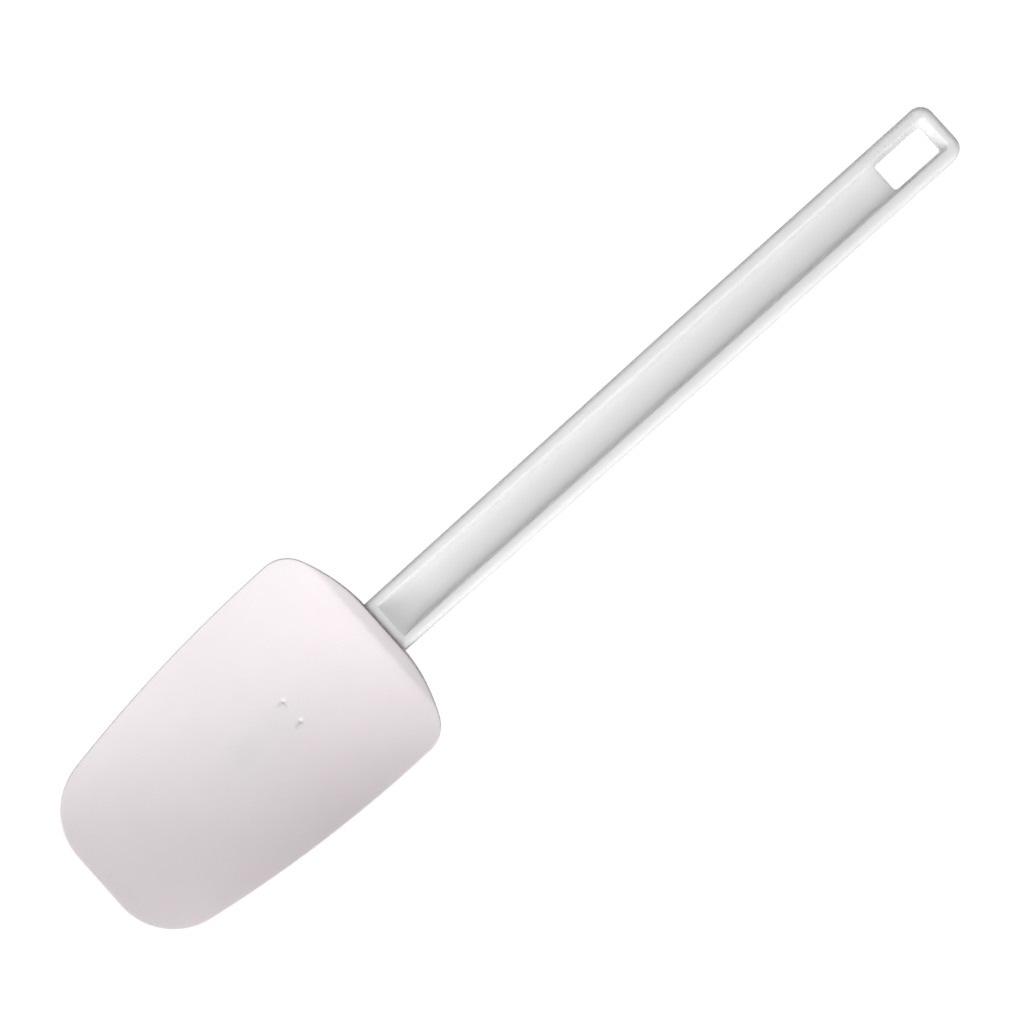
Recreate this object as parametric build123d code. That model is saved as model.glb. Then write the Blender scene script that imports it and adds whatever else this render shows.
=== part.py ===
from build123d import *
import math
import os

# Silicone spatula: a dished silicone blade moulded over the tang of a rigid plastic handle.
# Millimetres. While the pieces are drawn, X runs along the handle with 0 at the blade's mouth,
# the tip at minus X and the hanging hole at plus X. Z is 0 in the middle plane of the handle,
# and the bowl is open towards plus Z. At the end both pieces move to the part's own origin.

# Grip: the bare stretch of the handle
grip_length = 227.7
grip_width = 19.9
grip_width_at_mouth = 18.4
grip_taper_length = 120
grip_thickness = 9.6
grip_corner_radius = 4.5
grip_edge_radius = 1.5

# Channels sunk into both faces of the grip, with a web left between them
web_thickness = 2.6
channel_width = 10.4
channel_side_draft = 0.85
channel_start = 2.7
channel_ramp_length = 15.5
channel_end_draft = 1.6
channel_corner_radius = 1.4
end_bar_width = 4.8
rail_edge_radius = 0.35

# Hanging hole through the web
hole_length = 18.6
hole_corner_radius = 1.2
hole_end_ledge = 0.6
hole_side_ledge = 0.15

# Tang: the hidden stretch of the handle inside the blade
tang_length = 62
tang_width_at_root = 15
tang_width_at_tip = 9
tang_thickness_share = 0.42
tang_station_shares = (0, 0.25, 0.5, 0.75, 1)
locking_hole_shares = (0.2, 0.41, 0.78)
locking_hole_diameters = (6.5, 5.5, 4)
moulding_gap = 0.05

# Blade outline, seen from the front
blade_length = 115.3
shoulder_width = 74.6
shoulder_setback = 8.2
shoulder_radius = 10.6
tip_width = 54.9
tip_corner_radius = 21.4
side_bow = 3.2

# Bowl of the blade: heights of its front surface, and the flat land along the mouth
mouth_step = 1.2
land_width = 4
land_crease_radius = 5
deepest_from_mouth = 51
mouth_rise = 8.3
tip_rise = 8
bowl_depth = 9.6
bowl_depth_at_mouth = 6.4
bowl_depth_at_tip = 1.4
front_station_shares = (0, 0.25, 0.5, 0.75, 1)

# Shell and spine of the blade: what lies behind the front surface
shell_thickness = 2.2
rim_thickness = 1.4
spine_length = 92
spine_width_at_mouth = 54
spine_width_at_end = 18
back_station_shares = (0, 0.2, 0.4, 0.6, 0.8, 1)
back_line_shares = (0, 0.1, 0.2, 0.3, 0.4, 0.5, 0.6, 0.7, 0.8, 0.9, 1)

# Shallow marks left in the front of the blade by the two pins that hold the tang in the mould
pin_mark_from_mouth = 38
pin_mark_spacing = 7.9
pin_mark_width = 1.3
pin_mark_depth = 0.2

# How far cutting solids run past what they cut
overrun = 3

half_thickness = grip_thickness / 2
half_web = web_thickness / 2
half_shoulder = shoulder_width / 2
mouth_half_height = half_thickness + mouth_step
bowl_floor = mouth_half_height - mouth_rise
blade_reach = half_shoulder + side_bow + overrun
cut_height = mouth_half_height + mouth_rise + bowl_depth + overrun
hole_end = grip_length - end_bar_width - hole_end_ledge


def stations(first, last, shares):
    return [first + (last - first) * share for share in shares]


def bowl_share(along):
    """0 at the deepest point of the bowl, growing to 1 at the mouth land and at the tip."""
    if along < deepest_from_mouth:
        return (deepest_from_mouth - along) / (deepest_from_mouth - land_width)
    return (along - deepest_from_mouth) / (blade_length - deepest_from_mouth)


def front_height(along, across):
    """Height of the bowl's surface, a circular arc across the blade at every station."""
    towards_mouth = along < deepest_from_mouth
    rise = mouth_rise if towards_mouth else tip_rise
    end_depth = bowl_depth_at_mouth if towards_mouth else bowl_depth_at_tip
    fall = bowl_share(along) ** 2
    depth = bowl_depth + (end_depth - bowl_depth) * fall
    radius = (half_shoulder**2 + depth**2) / (2 * depth)
    return bowl_floor + rise * fall + radius - math.sqrt(radius**2 - across**2)


def shell_back_height(along, across):
    """Height of the back of the thin shell, which is thinnest along the rim."""
    inward = 1 - (across / half_shoulder) ** 2
    if along > deepest_from_mouth:
        inward = inward * (1 - bowl_share(along) ** 2)
    return front_height(along, across) - rim_thickness - (shell_thickness - rim_thickness) * inward


def spine_share(along):
    return min(max(along / spine_length, 0), 1)


def spine_half_width(along):
    narrowing = (spine_width_at_mouth - spine_width_at_end) * spine_share(along)
    return (spine_width_at_mouth - narrowing) / 2


def spine_depth(along):
    """How far the spine stands behind the shell on the axis; it fades out at its end."""
    if along >= spine_length:
        return 0
    spine_end = shell_back_height(spine_length, 0)
    underside = (spine_end + mouth_half_height) * spine_share(along) ** 3 - mouth_half_height
    return max(shell_back_height(along, 0) - underside, 0)


def back_height(along, across):
    """Height of the blade's back: the shell with the flat-topped hump of the spine on it."""
    share = min(abs(across) / spine_half_width(along), 1)
    hump = (1 - share**3) ** 2
    return shell_back_height(along, across) - spine_depth(along) * hump


def section_plane(along):
    """Plane across the blade at a distance from its mouth, its own x along Y and its y up."""
    return Plane(origin=(-along, 0, 0), x_dir=(0, 1, 0), z_dir=(1, 0, 0))


def closed_section(along, surface_line, edge_height, far_height):
    """Face between a surface line across the blade and a straight line far from the blade."""
    closing = Polyline(
        (blade_reach, edge_height),
        (blade_reach, far_height),
        (-blade_reach, far_height),
        (-blade_reach, edge_height),
    )
    return section_plane(along) * make_face([surface_line, closing.edges()]).face()


def front_section(along):
    """Everything in front of the bowl's surface at one station."""
    edge_height = front_height(along, blade_reach)
    floor_height = front_height(along, 0)
    arc = ThreePointArc((-blade_reach, edge_height), (0, floor_height), (blade_reach, edge_height))
    return closed_section(along, arc, edge_height, cut_height)


def back_section(along):
    """Everything behind the blade's back at one station."""
    across_places = stations(-blade_reach, blade_reach, back_line_shares)
    points = [Vector(across, back_height(along, across)) for across in across_places]
    line = Edge.make_spline(points, parameters=list(back_line_shares))
    return closed_section(along, line, back_height(along, blade_reach), -cut_height)


def blade_outline():
    """Plan of the blade: flat tip, bowed sides, rounded shoulders and a gently bulged mouth."""
    tip_corner = (-blade_length, tip_width / 2)
    shoulder_corner = (-shoulder_setback, half_shoulder)
    mouth_corner = (0, grip_width_at_mouth / 2)
    half = Line((-blade_length, 0), tip_corner)
    half += SagittaArc(tip_corner, shoulder_corner, side_bow)
    half += TangentArc(mouth_corner, shoulder_corner, tangent=(0, 1))
    half += Line(mouth_corner, (0, 0))
    outline = make_face(half.edges() + mirror(half, about=Plane.XZ).edges())
    outline = fillet(outline.vertices().group_by(Axis.X)[0], tip_corner_radius)
    shoulder_corners = [
        vertex
        for vertex in outline.vertices()
        if abs(vertex.X + shoulder_setback) < moulding_gap
    ]
    return fillet(shoulder_corners, shoulder_radius)


def blade_body():
    """The blade before the tang is let into it."""
    body = extrude(blade_outline(), cut_height, both=True)
    bowl_stations = stations(land_width, blade_length + overrun, front_station_shares)
    body -= loft([front_section(along) for along in bowl_stations])
    body -= extrude(front_section(land_width), land_width + overrun)
    back_stations = stations(-overrun, blade_length + overrun, back_station_shares)
    body -= loft([back_section(along) for along in back_stations])
    crease = [edge for edge in body.edges() if abs(edge.center().X + land_width) < moulding_gap]
    return fillet(crease, land_crease_radius)


def tang_level(along, side):
    """Middle height of the tang at one station and half its thickness, from bowl and back."""
    bottom = back_height(along, 0)
    top = front_height(max(along, land_width), 0)
    return (top + bottom) / 2 + side * (top - bottom) * tang_thickness_share / 2


def tang(extra):
    """Tang with its locking holes, grown by extra all round to cut the blade's cavity."""
    reach = tang_length + extra
    upper = [(channel_start, tang_level(0, 1) + extra)]
    lower = [(channel_start, tang_level(0, -1) - extra)]
    for share in tang_station_shares:
        upper.append((-reach * share, tang_level(tang_length * share, 1) + extra))
        lower.append((-reach * share, tang_level(tang_length * share, -1) - extra))
    side_view = make_face(Polyline(upper + lower[::-1], close=True))
    half_root = tang_width_at_root / 2 + extra
    half_tip = tang_width_at_tip / 2 + extra
    edge = [(channel_start, half_root), (0, half_root), (-reach, half_tip)]
    plan = make_face(Polyline(edge + [(x, -y) for x, y in edge[::-1]], close=True))
    body = extrude(Plane.XZ * side_view, tang_width_at_root, both=True)
    body &= extrude(plan, cut_height, both=True)
    for share, diameter in zip(locking_hole_shares, locking_hole_diameters):
        body -= Pos(-tang_length * share, 0, 0) * Cylinder(diameter / 2 - extra, 2 * cut_height)
    return body


def rectangle_between(start, end, half_width, height):
    """Level rectangle on the axis, from one place along the handle to another."""
    return Pos((start + end) / 2, 0, height) * Rectangle(end - start, 2 * half_width)


def channel():
    """Solid that sinks the channel into the front of the grip: drafted walls, a curved ramp."""
    floor_end = grip_length - end_bar_width
    floor_half_width = channel_width / 2
    top_half_width = floor_half_width + channel_side_draft
    top_end = floor_end + channel_end_draft
    floor = rectangle_between(channel_start, floor_end, floor_half_width, half_web)
    top = rectangle_between(channel_start, top_end, top_half_width, half_thickness)
    body = loft([floor.face(), top.face()], ruled=True)
    end_corners = body.edges().filter_by(lambda edge: edge.bounding_box().size.Z > half_web)
    body = fillet(end_corners.sort_by(Axis.X)[-2:], channel_corner_radius)
    ramp_foot = (channel_start + channel_ramp_length, half_web)
    ramp_top = (channel_start, half_thickness)
    below_ramp = TangentArc(ramp_foot, ramp_top, tangent=(-1, 0))
    below_ramp += Line(ramp_top, (channel_start, half_web))
    below_ramp += Line((channel_start, half_web), ramp_foot)
    return body - extrude(Plane.XZ * make_face(below_ramp.edges()), channel_width, both=True)


def grip():
    """Tapered bar with rounded edges, a channel in each face and the hanging hole."""
    plan = make_face(Polyline(
        (moulding_gap, -grip_width_at_mouth / 2),
        (grip_taper_length, -grip_width / 2),
        (grip_length, -grip_width / 2),
        (grip_length, grip_width / 2),
        (grip_taper_length, grip_width / 2),
        (moulding_gap, grip_width_at_mouth / 2),
        close=True,
    ))
    plan = fillet(plan.vertices().group_by(Axis.X)[-1], grip_corner_radius)
    body = extrude(plan, half_thickness, both=True)
    face_edges = body.edges().group_by(Axis.Z)[0] + body.edges().group_by(Axis.Z)[-1]
    body = fillet(face_edges.sort_by(Axis.X)[2:], grip_edge_radius)
    body -= channel()
    body -= mirror(channel(), about=Plane.XY)
    hole = RectangleRounded(hole_length, channel_width - 2 * hole_side_ledge, hole_corner_radius)
    body -= extrude(Pos(hole_end - hole_length / 2, 0) * hole, half_thickness, both=True)
    rail_faces = body.faces().group_by(Axis.Z)[0] + body.faces().group_by(Axis.Z)[-1]
    rail_edges = [edge for face in rail_faces for wire in face.inner_wires() for edge in wire.edges()]
    return fillet(rail_edges, rail_edge_radius)


def handle():
    return grip() + tang(0)


def pin_marks():
    """Two balls that just dent the bowl's surface, side by side over the tang."""
    half_spacing = pin_mark_spacing / 2
    radius = pin_mark_width**2 / (8 * pin_mark_depth) + pin_mark_depth / 2
    middle = front_height(pin_mark_from_mouth, half_spacing) - pin_mark_depth + radius
    return [Pos(-pin_mark_from_mouth, side * half_spacing, middle) * Sphere(radius) for side in (-1, 1)]


def blade():
    return blade_body() - tang(moulding_gap) - pin_marks()


pieces = {"handle": handle(), "blade": blade()}

# The part's own origin is under the middle of the whole spatula, on the surface it lies on
whole = Compound(list(pieces.values())).bounding_box()
to_origin = Pos(-whole.center().X, 0, -whole.min.Z)

os.makedirs("parts", exist_ok=True)
for name, piece in pieces.items():
    placed = to_origin * piece
    print(name, "valid" if placed.is_valid else "not valid", round(placed.volume), "cubic mm")
    export_step(placed, f"parts/{name}.step")
size = whole.size
print("whole", round(size.X, 1), "x", round(size.Y, 1), "x", round(size.Z, 1), "mm")
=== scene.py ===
import bpy
import math
from mathutils import Matrix, Vector


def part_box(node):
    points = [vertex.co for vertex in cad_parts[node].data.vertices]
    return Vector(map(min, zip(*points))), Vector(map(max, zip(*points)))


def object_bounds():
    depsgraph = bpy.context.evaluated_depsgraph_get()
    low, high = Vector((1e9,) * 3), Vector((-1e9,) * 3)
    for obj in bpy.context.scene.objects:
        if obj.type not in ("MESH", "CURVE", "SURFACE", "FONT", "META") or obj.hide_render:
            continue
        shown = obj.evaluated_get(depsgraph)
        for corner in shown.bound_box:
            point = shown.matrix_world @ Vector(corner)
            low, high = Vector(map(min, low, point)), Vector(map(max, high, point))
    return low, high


# The photograph, in pixels of its square frame
PHOTO_SIZE = 1024
PHOTO_MOUTH = Vector((384.5, 627.9))                  # where the handle leaves the blade, on the axis
PHOTO_HANDLE_DIRECTION = Vector((0.74417, -0.66799))  # along the handle, y downwards
PHOTO_LENGTH = 1130.7                                 # the whole spatula

# Camera and surroundings, in metres, degrees and watts
CAMERA_DISTANCE = 1.4
CAMERA_LEAN = 3.0          # towards the side of the spatula that faces the picture's lower right
LAMP_ELEVATION = 41.0      # above the floor, on the side of the picture's lower edge
LAMP_TURN = -12.0          # from there round towards the blade's tip
LAMP_DISTANCE = 3.0
LAMP_SIZE = 4.5
LAMP_POWER = 152.0
WORLD_STRENGTH = 0.15
FLOOR_SIZE = 8.0
FLOOR_COLOUR = (0.8, 0.8, 0.8)
FLOOR_GLOW = 1.1           # how white the camera sees the floor
FLOOR_GLOW_SHARE = 0.9     # how much of what the camera sees of it is that white

# Small rounds of the edges, in metres and degrees
HANDLE_EDGE_ROUND = 0.0002
BLADE_EDGE_ROUND = 0.0005
WELD_DISTANCE = 1e-5
EDGE_ANGLE = 50.0          # only sharper edges are rounded, which leaves out the pin marks
EDGE_SEGMENTS = 3
LARGE_FACE_WEIGHT = 100    # large faces are shaded as they lie, so the turn shows on the rounds

# Noise patterns: patches a metre, layers of detail, and the stretch along X, Y and Z
EVEN = (1, 1, 1)
ALONG_HANDLE = (0.12, 1, 1)
SILICONE_MOTTLE = (55, 3, EVEN)
SILICONE_WAVES = (90, 1, EVEN)
SILICONE_GRAIN = (1600, 2, EVEN)
PLASTIC_CLOUDS = (40, 3, EVEN)
PLASTIC_STREAKS = (260, 3, ALONG_HANDLE)
PLASTIC_GRAIN = (2200, 2, EVEN)
NOISE_SPAN = (0.3, 0.7)    # most values of a noise pattern lie between these

# Silicone: its pattern runs between the two colours and the two roughnesses; depths in metres
SILICONE_COLOURS = ((0.828, 0.772, 0.787), (0.846, 0.788, 0.804))
SILICONE_ROUGHNESS = (0.50, 0.60)
SILICONE_WAVE_DEPTH = 0.00008
SILICONE_GRAIN_DEPTH = 0.000012
SILICONE_SHADER = {
    "IOR": 1.41,
    "Specular IOR Level": 0.35,
    "Subsurface Weight": 0.25,
    "Subsurface Radius": (1, 0.7, 0.75),
    "Subsurface Scale": 0.0025,
}

# Handle plastic, in the same terms
PLASTIC_COLOURS = ((0.865, 0.868, 0.867), (0.885, 0.887, 0.886))
PLASTIC_ROUGHNESS = (0.38, 0.50)
PLASTIC_STREAK_DEPTH = 0.00003
PLASTIC_GRAIN_DEPTH = 0.000006
PLASTIC_SHADER = {
    "IOR": 1.49,
    "Specular IOR Level": 0.2,
    "Subsurface Weight": 1,
    "Subsurface Radius": (1, 1, 1),
    "Subsurface Scale": 0.003,
}

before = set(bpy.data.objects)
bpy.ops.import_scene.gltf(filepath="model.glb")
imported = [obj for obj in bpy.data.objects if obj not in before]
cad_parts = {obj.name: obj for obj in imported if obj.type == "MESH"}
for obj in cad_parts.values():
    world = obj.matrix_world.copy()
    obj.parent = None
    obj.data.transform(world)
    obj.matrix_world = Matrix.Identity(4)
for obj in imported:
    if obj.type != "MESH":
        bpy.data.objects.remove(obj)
cad_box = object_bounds()


def new_material(name, settings):
    """A node material with only a Principled shader, which gets its constant settings."""
    material = bpy.data.materials.new(name)
    material.use_nodes = True
    nodes = material.node_tree.nodes
    nodes.clear()
    shader = nodes.new("ShaderNodeBsdfPrincipled")
    out = nodes.new("ShaderNodeOutputMaterial")
    material.node_tree.links.new(shader.outputs["BSDF"], out.inputs["Surface"])
    for socket, value in settings.items():
        shader.inputs[socket].default_value = value
    return material, shader


def noise(material, scale, detail, stretch):
    """Noise fixed to the object."""
    nodes, links = material.node_tree.nodes, material.node_tree.links
    place = nodes.new("ShaderNodeTexCoord")
    mapping = nodes.new("ShaderNodeMapping")
    mapping.inputs["Scale"].default_value = stretch
    texture = nodes.new("ShaderNodeTexNoise")
    texture.inputs["Scale"].default_value = scale
    texture.inputs["Detail"].default_value = detail
    links.new(place.outputs["Object"], mapping.inputs["Vector"])
    links.new(mapping.outputs["Vector"], texture.inputs["Vector"])
    return texture.outputs["Fac"]


def spread_colour(material, value, colours, socket):
    """Leads noise to a socket as a colour between two colours."""
    nodes, links = material.node_tree.nodes, material.node_tree.links
    ramp = nodes.new("ShaderNodeValToRGB")
    for element, position, colour in zip(ramp.color_ramp.elements, NOISE_SPAN, colours):
        element.position = position
        element.color = (*colour, 1)
    links.new(value, ramp.inputs["Fac"])
    links.new(ramp.outputs["Color"], socket)


def spread_number(material, value, levels, socket):
    """Leads noise to a socket as a number between two levels."""
    nodes, links = material.node_tree.nodes, material.node_tree.links
    span = nodes.new("ShaderNodeMapRange")
    for end, position, level in zip(("Min", "Max"), NOISE_SPAN, levels):
        span.inputs["From " + end].default_value = position
        span.inputs["To " + end].default_value = level
    links.new(value, span.inputs["Value"])
    links.new(span.outputs["Result"], socket)


def bumps(material, shader, layers):
    """Stacks bump layers, each a height pattern and its depth in metres."""
    nodes, links = material.node_tree.nodes, material.node_tree.links
    below = None
    for height, depth in layers:
        bump = nodes.new("ShaderNodeBump")
        bump.inputs["Distance"].default_value = depth
        links.new(height, bump.inputs["Height"])
        if below:
            links.new(below, bump.inputs["Normal"])
        below = bump.outputs["Normal"]
    links.new(below, shader.inputs["Normal"])


def silicone():
    """White silicone, faintly pink: matt, a little translucent, with a fine moulded grain."""
    material, shader = new_material("silicone", SILICONE_SHADER)
    mottle = noise(material, *SILICONE_MOTTLE)
    grain = noise(material, *SILICONE_GRAIN)
    waves = noise(material, *SILICONE_WAVES)
    spread_colour(material, mottle, SILICONE_COLOURS, shader.inputs["Base Color"])
    spread_number(material, grain, SILICONE_ROUGHNESS, shader.inputs["Roughness"])
    bumps(material, shader, [(waves, SILICONE_WAVE_DEPTH), (grain, SILICONE_GRAIN_DEPTH)])
    return material


def plastic():
    """Off-white satin plastic, translucent, with the faint flow streaks of a long moulding."""
    material, shader = new_material("handle_plastic", PLASTIC_SHADER)
    clouds = noise(material, *PLASTIC_CLOUDS)
    streaks = noise(material, *PLASTIC_STREAKS)
    grain = noise(material, *PLASTIC_GRAIN)
    spread_colour(material, clouds, PLASTIC_COLOURS, shader.inputs["Base Color"])
    spread_number(material, streaks, PLASTIC_ROUGHNESS, shader.inputs["Roughness"])
    bumps(material, shader, [(streaks, PLASTIC_STREAK_DEPTH), (grain, PLASTIC_GRAIN_DEPTH)])
    return material


def dress(node, material, edge_round, clamp):
    """Gives a CAD node its finish and small rounds; clamp narrows them where edges lie close."""
    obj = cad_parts[node]
    obj.data.materials.clear()
    obj.data.materials.append(material)
    weld = obj.modifiers.new("weld", "WELD")
    weld.merge_threshold = WELD_DISTANCE
    bevel = obj.modifiers.new("bevel", "BEVEL")
    bevel.width = edge_round
    bevel.segments = EDGE_SEGMENTS
    bevel.limit_method = "ANGLE"
    bevel.angle_limit = math.radians(EDGE_ANGLE)
    bevel.use_clamp_overlap = clamp
    normals = obj.modifiers.new("normals", "WEIGHTED_NORMAL")
    normals.mode = "FACE_AREA"
    normals.weight = LARGE_FACE_WEIGHT
    for polygon in obj.data.polygons:
        polygon.use_smooth = True


def view_axes():
    """The camera's right, up and backward directions, from how the handle runs in the photograph."""
    along = PHOTO_HANDLE_DIRECTION
    lean = math.radians(CAMERA_LEAN)
    handle_way = Vector((1, 0, 0))
    side_way = Vector((0, -math.cos(lean), -math.sin(lean)))
    right = along.x * handle_way - along.y * side_way
    up = -along.y * handle_way - along.x * side_way
    return right, up, right.cross(up)


def camera():
    """Looks down on the spatula, and returns the point that it looks at."""
    right, up, backward = view_axes()
    metres_to_pixel = (cad_box[1][0] - cad_box[0][0]) / PHOTO_LENGTH
    handle_low, handle_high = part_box("handle")
    mouth = Vector((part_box("blade")[1][0], 0, (handle_low[2] + handle_high[2]) / 2))
    offset = (Vector((PHOTO_SIZE / 2, PHOTO_SIZE / 2)) - PHOTO_MOUTH) * metres_to_pixel
    target = mouth + right * offset.x - up * offset.y
    data = bpy.data.cameras.new("camera")
    data.lens = data.sensor_width * CAMERA_DISTANCE / (PHOTO_SIZE * metres_to_pixel)
    obj = bpy.data.objects.new("camera", data)
    turn = Matrix((right, up, backward)).transposed().to_4x4()
    obj.matrix_world = Matrix.Translation(target + backward * CAMERA_DISTANCE) @ turn
    bpy.context.scene.collection.objects.link(obj)
    bpy.context.scene.camera = obj
    return target


def lamp(target):
    """One large soft lamp beyond the picture's lower edge."""
    up = view_axes()[1]
    elevation = math.radians(LAMP_ELEVATION)
    turned = Matrix.Rotation(math.radians(LAMP_TURN), 3, "Z")
    level = turned @ Vector((-up.x, -up.y, 0)).normalized()
    towards = level * math.cos(elevation) + Vector((0, 0, 1)) * math.sin(elevation)
    data = bpy.data.lights.new("lamp", "AREA")
    data.shape = "DISK"
    data.size = LAMP_SIZE
    data.energy = LAMP_POWER
    obj = bpy.data.objects.new("lamp", data)
    turn = towards.to_track_quat("Z", "Y").to_matrix().to_4x4()
    obj.matrix_world = Matrix.Translation(target + towards * LAMP_DISTANCE) @ turn
    bpy.context.scene.collection.objects.link(obj)


def surroundings():
    """A dim even white all round, for the fill."""
    world = bpy.data.worlds.new("world")
    world.use_nodes = True
    background = world.node_tree.nodes["Background"]
    background.inputs["Color"].default_value = (1, 1, 1, 1)
    background.inputs["Strength"].default_value = WORLD_STRENGTH
    bpy.context.scene.world = world


def floor():
    """Pale floor that the camera sees as white, with a trace of the spatula's soft shadow on it."""
    bpy.ops.mesh.primitive_plane_add(size=FLOOR_SIZE, location=(0, 0, 0))
    obj = bpy.context.object
    obj.name = "floor"
    material = bpy.data.materials.new("floor")
    material.use_nodes = True
    nodes, links = material.node_tree.nodes, material.node_tree.links
    nodes.clear()
    out = nodes.new("ShaderNodeOutputMaterial")
    diffuse = nodes.new("ShaderNodeBsdfDiffuse")
    diffuse.inputs["Color"].default_value = (*FLOOR_COLOUR, 1)
    white = nodes.new("ShaderNodeEmission")
    white.inputs["Strength"].default_value = FLOOR_GLOW
    seen = nodes.new("ShaderNodeLightPath")
    amount = nodes.new("ShaderNodeMath")
    amount.operation = "MULTIPLY"
    amount.inputs[1].default_value = FLOOR_GLOW_SHARE
    mix = nodes.new("ShaderNodeMixShader")
    links.new(seen.outputs["Is Camera Ray"], amount.inputs[0])
    links.new(amount.outputs[0], mix.inputs[0])
    links.new(diffuse.outputs[0], mix.inputs[1])
    links.new(white.outputs[0], mix.inputs[2])
    links.new(mix.outputs[0], out.inputs["Surface"])
    obj.data.materials.append(material)


dress("handle", plastic(), HANDLE_EDGE_ROUND, clamp=True)
dress("blade", silicone(), BLADE_EDGE_ROUND, clamp=False)
floor()
lamp(camera())
surroundings()

bpy.context.scene.view_settings.view_transform = "Standard"
